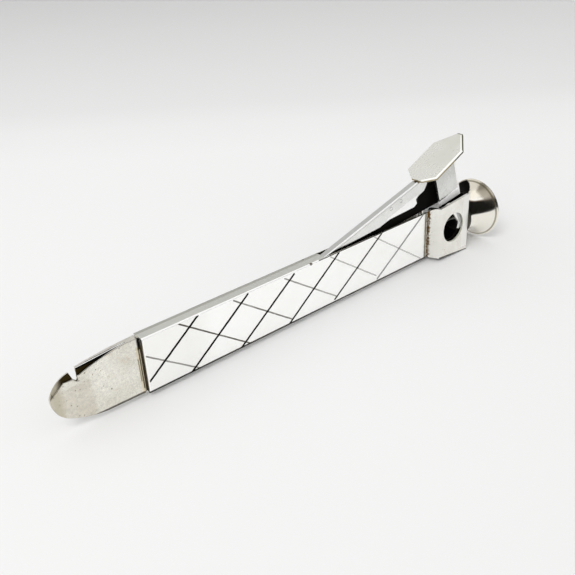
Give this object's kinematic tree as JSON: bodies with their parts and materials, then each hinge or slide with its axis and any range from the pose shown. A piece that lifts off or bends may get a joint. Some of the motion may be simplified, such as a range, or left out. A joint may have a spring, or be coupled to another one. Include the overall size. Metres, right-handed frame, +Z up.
{
  "type": "pocket cigar cutter",
  "caption": "Lever-action pocket cigar cutter: engraved flat handle with a notched opener tongue, side hole with a sliding knife, thumb plate and a trumpet-shaped cup at the end.",
  "frame": {"origin": "on the ground under the middle of the object's bounding box, at rest with the lever up", "axes": "+X along the handle from the opener tongue to the cup, +Z up, the engraved face and the side hole look towards -Y"},
  "size_m": [0.1453, 0.0186, 0.0358],
  "materials": {
    "engraved_sleeve": "polished nickel plate with engraved lines",
    "near_liner": "dull steel",
    "far_liner": "dull steel",
    "spine_bar": "dull steel",
    "opener_tongue": "worn nickel plate",
    "tang_shim": "dull steel",
    "cutter_head": "worn nickel plate",
    "shear_plate": "ground steel",
    "shear_plate_spacers": "dull steel",
    "trumpet_cup": "polished nickel plate",
    "cup_ring": "worn nickel plate",
    "lever": "polished steel",
    "blade_arm": "blackened steel",
    "blade_holder": "blackened steel",
    "straight_knife": "ground steel",
    "vee_blade": "ground steel",
    "thumb_plate": "worn nickel plate",
    "lever_spring": "spring steel",
    "spring_rivet": "dull steel",
    "frame_rivets": "dull steel",
    "lever_pin": "ground steel",
    "arm_rivets": "ground steel",
    "holder_rivets": "ground steel"
  },
  "bodies": {
    "frame": {"engraved_sleeve": "engraved_sleeve", "near_liner": "near_liner", "far_liner": "far_liner", "spine_bar": "spine_bar", "opener_tongue": "opener_tongue", "tang_shim": "tang_shim", "cutter_head": "cutter_head", "shear_plate": "shear_plate", "shear_plate_spacers": "shear_plate_spacers", "trumpet_cup": "trumpet_cup", "cup_ring": "cup_ring", "lever_spring": "lever_spring", "spring_rivet": "spring_rivet", "frame_rivets": "frame_rivets", "lever_pin": "lever_pin"},
    "lever": {"lever": "lever", "blade_arm": "blade_arm", "blade_holder": "blade_holder", "straight_knife": "straight_knife", "vee_blade": "vee_blade", "thumb_plate": "thumb_plate", "arm_rivets": "arm_rivets", "holder_rivets": "holder_rivets"}
  },
  "joints": [
    {"name": "lever_press", "type": "hinge", "parent": "frame", "child": "lever", "pos_m": [0.00135, 0, 0.01293], "axis": [0, 1, 0], "range_deg": [0, 12], "stiffness_Nm_per_rad": 0.02, "springref_deg": -11.46, "deforming": ["lever_spring"]}
  ]
}
